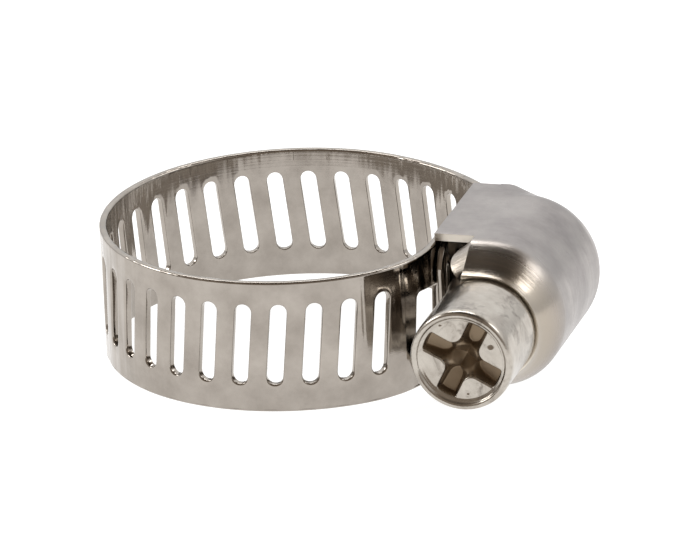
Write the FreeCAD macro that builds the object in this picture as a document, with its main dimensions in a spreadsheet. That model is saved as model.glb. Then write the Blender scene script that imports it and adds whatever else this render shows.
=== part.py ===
import FreeCAD, Part
import Sketcher
import math
import os

from FreeCAD import Placement, Rotation, Vector

# Worm-drive hose clamp: a slotted steel strip, a pressed housing and a worm screw.
#
# Frame: origin at the ring's centre, half way up the strip. +Z runs along the hose,
# +X points from the ring's centre to the housing, +Y runs along the screw from its
# head to its tip. Lengths are in millimetres and angles in degrees.
#
# The strip is one springy length of steel. It is cut into lengths here, so that each
# length can turn a little against the next where the real strip bends.

os.makedirs("parts", exist_ok=True)
doc = FreeCAD.newDocument("HoseClamp")

# ---------------------------------------------------------------- driving sizes
SIZES = {
    # strip
    "ring_radius": 11.24,        # outside of the ring, where it is round
    "strip_width": 8.0,
    "strip_thickness": 0.45,
    "front_blend_angle": 52.0,   # below +X, where the ring turns tighter to the mouth
    "back_blend_angle": 72.0,    # above +X, where the ring flattens to the far end
    "back_radius": 16.0,
    "bend_radius": 0.80,         # the strip's bend at the housing's far end
    "fixed_face": 9.80,          # outer face of the fixed layer in the housing
    "layer_gap": 0.05,           # between the fixed layer and the tail
    "fixed_reach": 1.60,         # how far past the ring's centre the fixed end runs
    "tail_reach": 0.75,          # how far the free end stands out of the mouth
    "tail_corner": 2.00,
    "flex_gap": 0.08,            # where one length of strip bends against the next
    "open_gap": 0.10,            # where the loop of lengths is opened
    # slots
    "slot_width": 0.96,
    "slot_length": 4.95,
    "slot_rise": 0.15,           # the slots' centres above the strip's middle
    "end_bar": 0.25,             # least metal between a slot and a strip end
    # window beside the mouth, where the strip leaves the housing
    "window_start": 4.65,        # along the strip from its fixed end
    "window_end": 7.37,
    "window_height": 3.00,
    "window_corner": 0.35,
    # housing
    "sheet": 0.46,
    "side_gap": 0.04,            # between a strip edge and a side wall
    "wall_floor": 9.66,          # lower edge of the side walls
    "dome_spring": 12.40,        # the side walls are flat up to here
    "dome_centre": 13.05,
    "mouth_setback": 2.95,
    "nose_start": 4.05,          # where the dome starts to neck in round the head
    "nose_end": 6.30,
    "nose_radius": 3.75,
    "nose_centre": 13.50,
    "nose_floor": 12.10,         # the nose is open below this
    "nose_lip": 0.40,            # the nose's edge is turned in this far along
    "far_start": 3.77,           # where the dome starts to neck in over the tip
    "far_end": 6.09,
    "far_radius": 3.10,
    "far_spring": 11.90,
    "far_floor": 11.30,          # the far end is open below this
    # screw
    "screw_offset": 13.40,
    "thread_radius": 3.30,
    "thread_lead": 2.05,
    "thread_start": -3.90,
    "thread_end": 4.45,
    "crest_half": 0.18,          # half the thread's width at its crest
    "root_half": 0.45,           # and at its root
    "root_sink": 0.10,           # how far the thread's root is sunk in the core
    "core_radius": 2.60,
    "head_radius": 3.05,
    "head_face": 11.30,
    "head_root": 4.70,           # where the head's barrel meets the core
    "neck_radius": 2.75,         # groove in the head that the nose's lip sits in
    "neck_front": 6.40,
    "neck_back": 5.80,
    "rim_width": 0.35,
    "rim_height": 0.30,
    "nose_fit": 0.10,            # round the groove inside the nose's lip
    "end_float": 0.12,           # between the tip and the far end's wall
    "recess_half": 0.55,         # half the width of each arm of the cross
    "recess_depth": 1.60,
    "recess_turn": 27.0,
}
# azimuths near which one length of strip meets the next, from the mouth round
FLEX_AZIMUTHS = (-100.0, -150.0, 150.0, 100.0)
LENGTH_NAMES = ("band_fixed_end", "band_front", "band_far_side", "band_back", "band_entry")

sheet = doc.addObject("Spreadsheet::Sheet", "Sizes")
for row, (word, value) in enumerate(SIZES.items(), start=1):
    sheet.set(f"A{row}", word)
    sheet.set(f"B{row}", str(value))
    sheet.setAlias(f"B{row}", word)
doc.recompute()


def size(words):
    """Value of a size, or of sizes added and taken away, such as "far_end - sheet"."""
    total, sign = 0.0, 1.0
    for word in words.split():
        if word in "+-":
            sign = 1.0 if word == "+" else -1.0
        else:
            total += sign * float(getattr(sheet, word))
            sign = 1.0
    return total


def formula(words):
    """The same sum as an expression that reads the sheet."""
    return " ".join(word if word in "+-" else f"Sizes.{word}" for word in words.split())


# ---------------------------------------------------------------- the strip's path
# The path is the strip's middle surface. It starts at the fixed end in the housing,
# leaves by the mouth, goes round the ring and comes back in at the far end.
half_strip = size("strip_thickness") / 2
ring_middle = size("ring_radius") - half_strip
front_turn = math.radians(size("front_blend_angle"))
back_turn = math.radians(size("back_blend_angle"))
tail_middle = size("fixed_face + layer_gap") + half_strip

# the front arc is tangent to the ring and to the fixed layer
front_radius = (size("fixed_face") - size("ring_radius") * math.cos(front_turn)) / (1 - math.cos(front_turn))
front_centre_y = -(size("ring_radius") - front_radius) * math.sin(front_turn)
# the back arc is tangent to the ring, and the bend is tangent to it and to the tail
back_shift = size("ring_radius - back_radius")
back_centre = Vector(back_shift * math.cos(back_turn), back_shift * math.sin(back_turn), 0)
back_middle = size("back_radius") - half_strip
bend_centre_x = tail_middle - size("bend_radius")
bend_reach = back_middle - size("bend_radius")
bend_turn = math.acos((bend_centre_x - back_centre.x) / bend_reach)
bend_centre_y = back_centre.y + bend_reach * math.sin(bend_turn)
mouth_y = -size("mouth_setback")
free_end_y = mouth_y - size("tail_reach")

fixed_run = size("fixed_reach") - front_centre_y
ring_turn = 2 * math.pi - front_turn - back_turn
# each stretch of the path: its length and its radius, None where it is straight
STRETCHES = (
    (fixed_run, None),
    (front_turn * (front_radius - half_strip), front_radius - half_strip),
    (ring_turn * ring_middle, ring_middle),
    ((back_turn - bend_turn) * back_middle, back_middle),
    (bend_turn * size("bend_radius"), size("bend_radius")),
    (bend_centre_y - free_end_y, None),
)
stretch_ends = [sum(length for length, _ in STRETCHES[:count]) for count in range(len(STRETCHES) + 1)]
ring_start, ring_end, bend_start, bend_end, path_end = stretch_ends[2:]


def pose_at(station):
    """Point, heading angle and bend radius of the path at a distance along it."""
    point = Vector(size("fixed_face") - half_strip, size("fixed_reach"), 0)
    heading = -math.pi / 2
    start = 0.0
    for length, radius in STRETCHES:
        step = min(max(station - start, 0.0), length)
        if radius is None:
            point = point + Vector(math.cos(heading), math.sin(heading), 0) * step
        else:
            centre = point + Vector(math.sin(heading), -math.cos(heading), 0) * radius
            heading -= step / radius
            point = centre + Vector(-math.sin(heading), math.cos(heading), 0) * radius
        start += length
        if station <= start:
            return point, heading, radius
    return point, heading, None


def beside(station, offset):
    """A point off the path, outwards from the ring by offset."""
    point, heading, _ = pose_at(station)
    return point + Vector(-math.sin(heading), math.cos(heading), 0) * offset


def face_edges(start, end, offset):
    """Edges along one face of the strip, between two stations of the path."""
    stops = [start] + [stop for stop in stretch_ends if start < stop < end] + [end]
    edges = []
    for first, last in zip(stops, stops[1:]):
        middle = (first + last) / 2
        ends = (beside(first, offset), beside(last, offset))
        if pose_at(middle)[2] is None:
            edges.append(Part.LineSegment(*ends).toShape())
        else:
            edges.append(Part.Arc(ends[0], beside(middle, offset), ends[1]).toShape())
    return edges


def strip_between(start, end, width):
    """A plain length of strip between two stations of the path."""
    outer = face_edges(start, end, half_strip)
    inner = face_edges(start, end, -half_strip)
    caps = [
        Part.LineSegment(beside(stop, half_strip), beside(stop, -half_strip)).toShape()
        for stop in (start, end)
    ]
    outline = Part.Wire(Part.__sortEdges__(outer + inner + caps))
    solid = Part.Face(outline).extrude(Vector(0, 0, width))
    solid.translate(Vector(0, 0, -width / 2))
    return solid


# ---------------------------------------------------------------- slots
# The slots are as far apart as the thread's lead and lean with its helix.
slot_lean = math.atan(size("thread_lead") / (2 * math.pi * size("thread_radius")))
pitch = size("thread_lead")
crest_at_strip_y = size("thread_start") + pitch / 2
first_slot = (bend_end + bend_centre_y - crest_at_strip_y) % pitch
slot_stations = [first_slot + count * pitch for count in range(int(path_end / pitch) + 1)]


def slot_cutter(station):
    """A round-ended slot, leaning with the thread, that goes through the strip."""
    point, heading, _ = pose_at(station)
    along = Vector(math.cos(heading), math.sin(heading), 0)
    outward = Vector(-math.sin(heading), math.cos(heading), 0)
    up = Vector(0, 0, math.cos(slot_lean)) - along * math.sin(slot_lean)
    across = outward.cross(up)
    radius = size("slot_width") / 2
    reach = size("slot_length") / 2 - radius
    centre = point + Vector(0, 0, size("slot_rise")) - outward * size("strip_thickness")
    corners = [centre + up * (reach * rise) + across * (radius * side)
               for rise, side in ((1, -1), (1, 1), (-1, 1), (-1, -1))]
    top = centre + up * (reach + radius)
    bottom = centre - up * (reach + radius)
    outline = Part.Wire([
        Part.Arc(corners[0], top, corners[1]).toShape(),
        Part.LineSegment(corners[1], corners[2]).toShape(),
        Part.Arc(corners[2], bottom, corners[3]).toShape(),
        Part.LineSegment(corners[3], corners[0]).toShape(),
    ])
    return Part.Face(outline).extrude(outward * (2 * size("strip_thickness")))


def slotted(solid, start, end):
    """The strip with every slot that lies whole between two stations."""
    margin = size("slot_width") / 2 + size("end_bar")
    cutters = [slot_cutter(stop) for stop in slot_stations if start + margin <= stop <= end - margin]
    return solid.cut(Part.makeCompound(cutters)) if cutters else solid


def window_cutter():
    """A round-cornered window beside the mouth, leaning as the slots do."""
    length, height = size("window_end - window_start"), size("window_height")
    depth = 4 * size("strip_thickness")
    block = Part.makeBox(length, depth, height, Vector(-length / 2, -depth / 2, -height / 2))
    corners = [edge for edge in block.Edges if edge.BoundBox.YLength > depth / 2]
    block = block.makeFillet(size("window_corner"), corners)
    point, heading, _ = pose_at(size("window_start") + length / 2)
    block.rotate(Vector(0, 0, 0), Vector(0, 1, 0), -math.degrees(slot_lean))
    block.rotate(Vector(0, 0, 0), Vector(0, 0, 1), math.degrees(heading))
    block.translate(point + Vector(0, 0, size("slot_rise")))
    return block


def add_shape(name, shape):
    """A feature of the document that holds a shape worked out from the sheet."""
    feature = doc.addObject("Part::Feature", name)
    feature.Label = name
    feature.Shape = shape
    feature.Placement = Placement()
    return feature


# ---------------------------------------------------------------- band lengths
def flex_station(azimuth):
    """Station midway between two slots, nearest to an azimuth on the ring."""
    turned = (-size("front_blend_angle") - azimuth) % 360.0
    wanted = ring_start + math.radians(turned) * ring_middle
    count = round((wanted - first_slot) / pitch - 0.5)
    return first_slot + (count + 0.5) * pitch


flex_stations = [flex_station(azimuth) for azimuth in FLEX_AZIMUTHS]
length_starts = [0.0] + [stop + size("flex_gap") / 2 for stop in flex_stations]
length_ends = [stop - size("flex_gap") / 2 for stop in flex_stations] + [bend_start - size("open_gap")]

for name, start, end in zip(LENGTH_NAMES, length_starts, length_ends):
    slots_start = max(start, size("window_end"))
    add_shape(name, slotted(strip_between(start, end, size("strip_width")), slots_start, end))

# inside the housing the fixed end is pressed out to both side walls, which hold it
seat_length = size("fixed_reach") - mouth_y
seat_width = size("strip_width") + 2 * size("side_gap")
fixed_end = doc.getObject("band_fixed_end")
seat = strip_between(0.0, seat_length, seat_width)
fixed_end.Shape = fixed_end.Shape.fuse(seat).cut(window_cutter()).removeSplitter()

# the free end has round corners
tail = strip_between(bend_start, path_end, size("strip_width"))
tail_corners = [edge for edge in tail.Edges
                if abs(edge.BoundBox.YMax - free_end_y) < 0.001 and edge.BoundBox.XLength > 0.001
                and edge.BoundBox.ZLength < 0.001]
tail = tail.makeFillet(size("tail_corner"), tail_corners)
add_shape("band_tail", slotted(tail, bend_start, path_end))


# ---------------------------------------------------------------- housing
# A profile across the housing has two upright sides, a slope from the top of each
# side and a round crown that the slopes touch. It is given as the half width, the
# height of the sides' tops, the crown's radius and the height of its centre.
wall_half = size("strip_width") / 2 + size("side_gap + sheet")
dome_profile = (wall_half, size("dome_spring"), wall_half, size("dome_centre"))
nose_profile = (size("nose_radius"), size("dome_spring"), size("nose_radius"), size("nose_centre"))
far_profile = (wall_half, size("far_spring"), size("far_radius"), size("screw_offset"))


def arch(y, profile_sizes, inset, floor):
    """Closed outline of a profile at one y, with every wall moved in by inset."""
    half, spring, radius, centre = profile_sizes
    rise = spring - centre
    touch = math.atan2(half, rise) - math.acos(min(1.0, radius / math.hypot(half, rise)))
    corner = spring - inset * math.cos(touch) / (1 + math.sin(touch))
    side = half - inset
    crown = radius - inset
    touch_x, touch_z = centre + crown * math.cos(touch), crown * math.sin(touch)
    points = [Vector(x, y, z) for x, z in (
        (floor, -side), (corner, -side), (touch_x, -touch_z), (centre + crown, 0),
        (touch_x, touch_z), (corner, side), (floor, side))]
    return Part.Wire([
        Part.LineSegment(points[0], points[1]).toShape(),
        Part.LineSegment(points[1], points[2]).toShape(),
        Part.Arc(points[2], points[3], points[4]).toShape(),
        Part.LineSegment(points[4], points[5]).toShape(),
        Part.LineSegment(points[5], points[6]).toShape(),
        Part.LineSegment(points[6], points[0]).toShape(),
    ])


def neck(start_y, end_y, end_profile, ease, inset, floor):
    """The dome's profile turning into another one, by shares that ease gives."""
    steps = 6
    sections = []
    for step in range(steps + 1):
        share = ease(step / steps)
        mixed = [first + share * (last - first) for first, last in zip(dome_profile, end_profile)]
        sections.append(arch(start_y + (end_y - start_y) * step / steps, mixed, inset, floor))
    return Part.makeLoft(sections, True, False)


def ease_both(share):
    """Starts and ends level."""
    return share * share * (3 - 2 * share)


def ease_in(share):
    """Starts level and ends steep."""
    return share * share


def domed_block(inset, floor, nose_y, far_y):
    """Nose, dome and far end as one solid, with every wall moved in by inset."""
    start, end = -size("nose_start"), size("far_start")
    dome = Part.Face(arch(start, dome_profile, inset, floor)).extrude(Vector(0, end - start, 0))
    nose = neck(start, nose_y, nose_profile, ease_both, inset, floor)
    far = neck(end, far_y, far_profile, ease_in, inset, floor)
    return dome.multiFuse([nose, far])


floor = size("wall_floor")
past = 5.0
shell = domed_block(0.0, floor, -size("nose_end"), size("far_end"))
hollow = domed_block(size("sheet"), floor - past, -size("nose_end - nose_lip"), size("far_end - sheet"))
# under the far end's wall the housing is open for the strip
strip_way = Part.makeBox(
    past + size("far_floor") - floor, size("far_end") + past, 2 * (wall_half - size("sheet")),
    Vector(floor - past, 0, size("sheet") - wall_half))
neck_way = Part.makeCylinder(
    size("neck_radius + nose_fit"), past, Vector(size("screw_offset"), -size("nose_start") - past, 0), Vector(0, 1, 0))
# at the mouth the walls stop short under the nose, so that the ring can leave
mouth = Part.makeBox(
    past + size("nose_floor") - floor, past, 2 * past, Vector(floor - past, mouth_y - past, -past))
add_shape("housing", shell.cut([hollow, strip_way, neck_way, mouth]).removeSplitter())

# ---------------------------------------------------------------- worm screw
screw = doc.addObject("PartDesign::Body", "worm_screw")
screw.Label = "worm_screw"


def origin_plane(body, role):
    """One of a body's own origin planes."""
    return [item for item in body.Origin.OriginFeatures if item.Role == role][0]


def profile(body, name, role, corners):
    """A closed sketch whose corners are held at sizes from the sheet."""
    sketch = body.newObject("Sketcher::SketchObject", name)
    sketch.AttachmentSupport = [(origin_plane(body, role), "")]
    sketch.MapMode = "FlatFace"
    points = [Vector(size(x), size(y), 0) for x, y in corners]
    for first, last in zip(points, points[1:] + points[:1]):
        sketch.addGeometry(Part.LineSegment(first, last))
    for line, (x, y) in enumerate(corners):
        sketch.addConstraint(Sketcher.Constraint("Coincident", line, 2, (line + 1) % len(corners), 1))
        for kind, words, axis in (("DistanceX", x, -2), ("DistanceY", y, -1)):
            if words:
                index = sketch.addConstraint(Sketcher.Constraint(kind, -1, 1, line, 1, size(words)))
                sketch.setExpression(f"Constraints[{index}]", formula(words))
            else:
                sketch.addConstraint(Sketcher.Constraint("PointOnObject", line, 1, axis))
    return sketch


tip = "far_end - sheet - end_float"
seat_face = "rim_height - head_face"
barrel = profile(screw, "screw_outline", "XZ_Plane", [
    ("", seat_face),
    ("head_radius - rim_width", seat_face),
    ("head_radius - rim_width", "- head_face"),
    ("head_radius", "- head_face"),
    ("head_radius", "- neck_front"),
    ("neck_radius", "- neck_front"),
    ("neck_radius", "- neck_back"),
    ("head_radius", "- neck_back"),
    ("head_radius", "- head_root"),
    ("core_radius", "- head_root"),
    ("core_radius", tip),
    ("", tip),
])
turned = screw.newObject("PartDesign::Revolution", "turned_blank")
turned.Profile = barrel
turned.ReferenceAxis = (barrel, ["V_Axis"])
turned.Angle = 360
doc.recompute()

thread_outline = profile(screw, "thread_outline", "XZ_Plane", [
    ("core_radius - root_sink", "thread_start - root_half"),
    ("thread_radius", "thread_start - crest_half"),
    ("thread_radius", "thread_start + crest_half"),
    ("core_radius - root_sink", "thread_start + root_half"),
])
thread = screw.newObject("PartDesign::AdditiveHelix", "rolled_thread")
thread.Profile = thread_outline
thread.ReferenceAxis = (thread_outline, ["V_Axis"])
thread.Mode = "pitch-height-angle"
thread.setExpression("Pitch", formula("thread_lead"))
thread.setExpression("Height", formula("thread_end - thread_start"))
doc.recompute()
blank_volume = thread.Shape.Volume

arm = "head_radius - rim_width"
back_arm = "rim_width - head_radius"
cross = profile(screw, "recess_outline", "XY_Plane", [
    ("recess_half", "recess_half"), ("recess_half", arm),
    ("- recess_half", arm), ("- recess_half", "recess_half"),
    (back_arm, "recess_half"), (back_arm, "- recess_half"),
    ("- recess_half", "- recess_half"), ("- recess_half", back_arm),
    ("recess_half", back_arm), ("recess_half", "- recess_half"),
    (arm, "- recess_half"), (arm, "recess_half"),
])
cross.setExpression("AttachmentOffset.Base.z", formula(seat_face))
cross.setExpression("AttachmentOffset.Rotation.Angle", "Sizes.recess_turn")
recess = screw.newObject("PartDesign::Pocket", "driver_recess")
recess.Profile = cross
recess.Reversed = True
recess.setExpression("Length", formula("recess_depth"))
doc.recompute()
recess_volume = blank_volume - recess.Shape.Volume
if recess_volume <= 0:
    raise RuntimeError("the driver recess cuts nothing")

screw.Tip = recess
# local +Z is the screw's axis, and becomes +Y
screw.Placement = Placement(Vector(0, 0, 0), Rotation(Vector(1, 0, 0), -90))
screw.setExpression("Placement.Base.x", "Sizes.screw_offset")
doc.recompute()

# ---------------------------------------------------------------- checks and export
for item in doc.Objects:
    if "Invalid" in item.State or "Error" in item.State:
        raise RuntimeError(f"{item.Name} did not build: {item.State}")

nodes = [doc.getObject(name) for name in LENGTH_NAMES + ("band_tail", "housing", "worm_screw")]
for node in nodes:
    if node.Shape.isNull() or not node.Shape.isValid() or len(node.Shape.Solids) != 1:
        raise RuntimeError(f"{node.Label} is not one valid solid")
    node.Shape.exportStep(f"parts/{node.Label}.step")
    print(f"{node.Label}: {node.Shape.Volume:.3f} mm3")

for name, stop in zip(LENGTH_NAMES[1:], flex_stations):
    point = pose_at(stop)[0]
    print(f"{name} flexes about x {point.x:.4f}, y {point.y:.4f}")
open_point = pose_at(bend_start)[0]
print(f"the loop is open at x {open_point.x:.4f}, y {open_point.y:.4f}")
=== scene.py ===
import math

import bmesh
import bpy
from mathutils import Matrix, Vector


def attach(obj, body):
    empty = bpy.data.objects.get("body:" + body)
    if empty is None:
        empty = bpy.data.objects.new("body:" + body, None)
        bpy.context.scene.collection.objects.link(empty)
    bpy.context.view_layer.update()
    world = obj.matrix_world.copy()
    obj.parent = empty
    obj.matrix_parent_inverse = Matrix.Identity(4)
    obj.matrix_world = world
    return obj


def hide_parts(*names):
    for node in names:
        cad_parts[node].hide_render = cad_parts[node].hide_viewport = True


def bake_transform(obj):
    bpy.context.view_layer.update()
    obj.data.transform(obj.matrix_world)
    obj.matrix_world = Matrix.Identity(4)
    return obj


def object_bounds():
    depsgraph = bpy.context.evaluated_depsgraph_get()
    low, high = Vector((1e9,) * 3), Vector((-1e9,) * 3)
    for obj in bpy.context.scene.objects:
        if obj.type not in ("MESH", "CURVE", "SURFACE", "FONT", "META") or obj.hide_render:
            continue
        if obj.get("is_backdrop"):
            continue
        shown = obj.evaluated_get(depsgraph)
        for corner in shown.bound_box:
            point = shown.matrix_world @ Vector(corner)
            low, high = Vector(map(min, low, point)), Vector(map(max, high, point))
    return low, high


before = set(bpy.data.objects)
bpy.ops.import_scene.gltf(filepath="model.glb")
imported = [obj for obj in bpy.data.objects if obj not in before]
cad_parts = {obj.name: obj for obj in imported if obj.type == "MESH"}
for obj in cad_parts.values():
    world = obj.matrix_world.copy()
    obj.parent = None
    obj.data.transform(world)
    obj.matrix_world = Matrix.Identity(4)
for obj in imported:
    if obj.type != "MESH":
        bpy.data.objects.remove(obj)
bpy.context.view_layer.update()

# ---------------------------------------------------------------- the strip, flat
# The band is one strip of cold-rolled stainless steel, 8 mm by 0.45 mm, slit to width
# and rolled at its edges. A row of leaning round-ended slots is punched through it, one
# to each turn of the screw's thread. It is made flat here, one pitch at a time.
MM = 0.001
WELD, MERGE = 1e-7, 2e-6     # points this near, in metres, are one point; and between pitches
STRIP_WIDTH, STRIP_HALF = 8.0, 0.225
PITCH = 2.05
SLOT_RADIUS, SLOT_REACH, SLOT_RISE = 0.48, 1.995, 0.15
THREAD_RADIUS = 3.30
SLOT_LEAN = math.atan(PITCH / (2 * math.pi * THREAD_RADIUS))
EDGE_ROUND = 0.13            # the rolled edges
PUNCHED_ROUND = 0.10         # where the punch went in the steel is drawn down
BROKEN_ROUND = 0.05          # where it came out the edge is sharper
RUNG_HEIGHTS = [-STRIP_WIDTH / 2 + EDGE_ROUND, -3.15, -2.45] + [-1.9 + 0.475 * step for step in range(9)]
RUNG_HEIGHTS += [2.65, 3.3, STRIP_WIDTH / 2 - EDGE_ROUND]
TOP_STEPS = 10
ROUND_STEPS = (1 / 3, 2 / 3, 1.0)
FACE_SHARES = (1.0, 0.96, 0.75, 0.5, 0.25, 0.0)     # from the strip's edge in to a hole
PLAIN_STEP = 0.09


def hole_rim(half_wide, half_high):
    """Points of a leaning hole's core and the way out of it, going round from the right."""
    up = Vector((-math.sin(SLOT_LEAN), math.cos(SLOT_LEAN)))
    across = Vector((up.y, -up.x))
    eighth = math.pi / 8
    side = [(half_wide, -half_high, angle) for angle in (-2 * eighth, -eighth)]
    side += [(half_wide, half_high * (step / 4 - 1), 0.0) for step in range(9)]
    side += [(half_wide, half_high, angle) for angle in (eighth, 2 * eighth)]
    if half_wide:
        top = [(half_wide, half_high, 3 * eighth)]
        top += [(half_wide * (1 - step / 3), half_high, 4 * eighth) for step in range(7)]
        top += [(-half_wide, half_high, 5 * eighth)]
    else:
        top = [(0.0, half_high, 2 * eighth + 4 * eighth * step / TOP_STEPS) for step in range(1, TOP_STEPS)]
    rim = []
    for flip in (1, -1):
        for over, rise, angle in side + top:
            centre = (across * over + up * rise) * flip + Vector((0, SLOT_RISE))
            away = (across * math.cos(angle) + up * math.sin(angle)) * flip
            rim.append((centre, away))
    return rim


def inner_outline(length):
    """Edge of a stretch of strip: point, way out, and whether the steel ends there."""
    wide, high = length / 2, RUNG_HEIGHTS[-1]
    right = [(Vector((wide, z)), Vector((1, 0)), False) for z in RUNG_HEIGHTS]
    top = [(Vector((wide - length * step / TOP_STEPS, high)), Vector((0, 1)), True)
           for step in range(1, TOP_STEPS)]
    left = [(Vector((-wide, z)), Vector((-1, 0)), False) for z in reversed(RUNG_HEIGHTS)]
    bottom = [(Vector((-wide + length * step / TOP_STEPS, -high)), Vector((0, -1)), True)
              for step in range(1, TOP_STEPS)]
    for corner, way in ((len(right) - 1, 1), (0, -1)):
        right[corner] = (right[corner][0], Vector((0, way)), True)
    for corner, way in ((0, 1), (len(left) - 1, -1)):
        left[corner] = (left[corner][0], Vector((0, way)), True)
    return right + top + left + bottom


def free_end_outline(corner_radius):
    """Edge of the last pitch, with two round corners and the end of the strip."""
    inset = corner_radius - EDGE_ROUND
    start = -PITCH / 2
    straight = STRIP_WIDTH - 2 * corner_radius
    arc = math.pi / 2 * inset
    full = 2 * arc + straight
    count = 2 * TOP_STEPS + len(RUNG_HEIGHTS) - 1
    points = []
    for step in range(count + 1):
        run = full * step / count
        if run <= arc:
            angle = -math.pi / 2 + run / inset
            centre = Vector((start, -STRIP_WIDTH / 2 + corner_radius))
        elif run <= arc + straight:
            points.append((Vector((start + inset, -straight / 2 + run - arc)), Vector((1, 0)), True))
            continue
        else:
            angle = (run - arc - straight) / inset
            centre = Vector((start, STRIP_WIDTH / 2 - corner_radius))
        way = Vector((math.cos(angle), math.sin(angle)))
        points.append((centre + way * inset, way, True))
    left = [(Vector((start, z)), Vector((-1, 0)), False) for z in reversed(RUNG_HEIGHTS)]
    outline = points[TOP_STEPS:-1] + left
    outline[len(points) - TOP_STEPS - 1] = points[-1]
    outline[-1] = points[0]
    return outline + points[1:TOP_STEPS]


def stitched(rings, closed):
    """Faces between rings of equal length, as index quads over the rings laid end to end."""
    size = len(rings[0])
    quads = []
    for row in range(len(rings) - 1):
        for place in range(size if closed else size - 1):
            after = (place + 1) % size
            quads.append((row * size + place, row * size + after, (row + 1) * size + after,
                          (row + 1) * size + place))
    return quads


def flat_mesh(name, points, faces):
    """A mesh from points in millimetres: station along the strip, outwards, up."""
    mesh = bpy.data.meshes.new(name)
    mesh.from_pydata([Vector(point) * MM for point in points], [], faces)
    work = bmesh.new()
    work.from_mesh(mesh)
    bmesh.ops.remove_doubles(work, verts=work.verts, dist=WELD)
    work.to_mesh(mesh)
    work.free()
    return mesh


def pierced(name, rim, hole_radius, outline, shift=0.0):
    """A stretch of strip with one hole: both faces, the hole's wall and the free edges."""
    rings = []

    def face_ring(share, out, height):
        ring = []
        for (centre, away), (edge, _, _) in zip(rim, outline):
            inner = centre + away * (hole_radius + out)
            spot = inner + (edge - inner) * share
            ring.append((spot.x, height, spot.y))
        return ring

    for share in FACE_SHARES:
        rings.append(face_ring(share, PUNCHED_ROUND, STRIP_HALF))
    for share in ROUND_STEPS:
        angle = share * math.pi / 2
        height = STRIP_HALF - PUNCHED_ROUND * (1 - math.cos(angle))
        rings.append(face_ring(0.0, PUNCHED_ROUND * (1 - math.sin(angle)), height))
    for share in (1.0,) + ROUND_STEPS[1::-1] + (0.0,):
        angle = share * math.pi / 2
        height = -STRIP_HALF + BROKEN_ROUND * (1 - math.cos(angle))
        rings.append(face_ring(0.0, BROKEN_ROUND * (1 - math.sin(angle)), height))
    for share in FACE_SHARES[-2::-1]:
        rings.append(face_ring(share, BROKEN_ROUND, -STRIP_HALF))
    points = [spot for ring in rings for spot in ring]
    faces = stitched(rings, True)

    # the free edges, rolled round
    count = len(outline)
    for place in range(count):
        pair = (outline[place], outline[(place + 1) % count])
        if not (pair[0][2] and pair[1][2]):
            continue
        columns = []
        for edge, way, _ in pair:
            column = []
            for side in (1, -1):
                steps = (0.0,) + ROUND_STEPS if side == 1 else ROUND_STEPS[::-1] + (0.0,)
                for share in steps:
                    angle = share * math.pi / 2
                    spot = edge + way * (EDGE_ROUND * math.sin(angle))
                    column.append((spot.x, side * (STRIP_HALF - EDGE_ROUND * (1 - math.cos(angle))),
                                   spot.y))
            columns.append(column)
        base = len(points)
        points += columns[0] + columns[1]
        faces += [tuple(base + spot for spot in quad) for quad in stitched(columns, False)]
    return flat_mesh(name, [(x + shift, y, z) for x, y, z in points], faces)


def plain_length(name, start, end):
    """A plain length of strip between two stations, with open ends."""
    count = max(2, math.ceil((end - start) / PLAIN_STEP))
    stops = [start + (end - start) * step / count for step in range(count + 1)]
    section = [(STRIP_HALF, z) for z in RUNG_HEIGHTS]
    for way in (1, -1):
        for side in (way, -way):
            steps = ROUND_STEPS if side == way else ROUND_STEPS[1::-1]
            for share in steps:
                angle = share * math.pi / 2
                section.append((side * (STRIP_HALF - EDGE_ROUND * (1 - math.cos(angle))),
                                way * (STRIP_WIDTH / 2 - EDGE_ROUND * (1 - math.sin(angle)))))
        if way == 1:
            section += [(-STRIP_HALF, z) for z in reversed(RUNG_HEIGHTS)]
    rings = [[(stop, out, z) for out, z in section] for stop in stops]
    return flat_mesh(name, [spot for ring in rings for spot in ring], stitched(rings, True))


# ---------------------------------------------------------------- the strip's way round
# The strip starts in the housing, leaves by the mouth, goes round the ring, comes back
# at the housing's far end, bends in sharply and lies on its own start under the screw.
RING_RADIUS, FIXED_FACE, BACK_RADIUS, BEND_RADIUS = 11.24, 9.80, 16.0, 0.80
FRONT_TURN, BACK_TURN = math.radians(52), math.radians(72)
FIXED_REACH, FREE_END_Y, THREAD_START = 1.60, -3.70, -3.90
LAYER_GAP = 0.05             # between the tail and the fixed layer it lies on
BEND_STEP, WAY_STEP = 0.02, 0.1
front_radius = (FIXED_FACE - RING_RADIUS * math.cos(FRONT_TURN)) / (1 - math.cos(FRONT_TURN))
front_centre_y = -(RING_RADIUS - front_radius) * math.sin(FRONT_TURN)
back_centre = Vector((math.cos(BACK_TURN), math.sin(BACK_TURN))) * (RING_RADIUS - BACK_RADIUS)
back_middle = BACK_RADIUS - STRIP_HALF
bend_centre_x = FIXED_FACE + LAYER_GAP + STRIP_HALF - BEND_RADIUS
bend_turn = math.acos((bend_centre_x - back_centre.x) / (back_middle - BEND_RADIUS))
bend_centre_y = back_centre.y + (back_middle - BEND_RADIUS) * math.sin(bend_turn)
ring_middle = RING_RADIUS - STRIP_HALF
# each stretch: its length and its radius, 0 where it is straight
STRETCHES = (
    (FIXED_REACH - front_centre_y, 0),
    (FRONT_TURN * (front_radius - STRIP_HALF), front_radius - STRIP_HALF),
    ((2 * math.pi - FRONT_TURN - BACK_TURN) * ring_middle, ring_middle),
    ((BACK_TURN - bend_turn) * back_middle, back_middle),
    (bend_turn * BEND_RADIUS, BEND_RADIUS),
    (bend_centre_y - FREE_END_Y, 0),
)
ends = [sum(length for length, _ in STRETCHES[:count]) for count in range(len(STRETCHES) + 1)]
ring_start, _, bend_start, bend_end, path_end = ends[2:]


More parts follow.
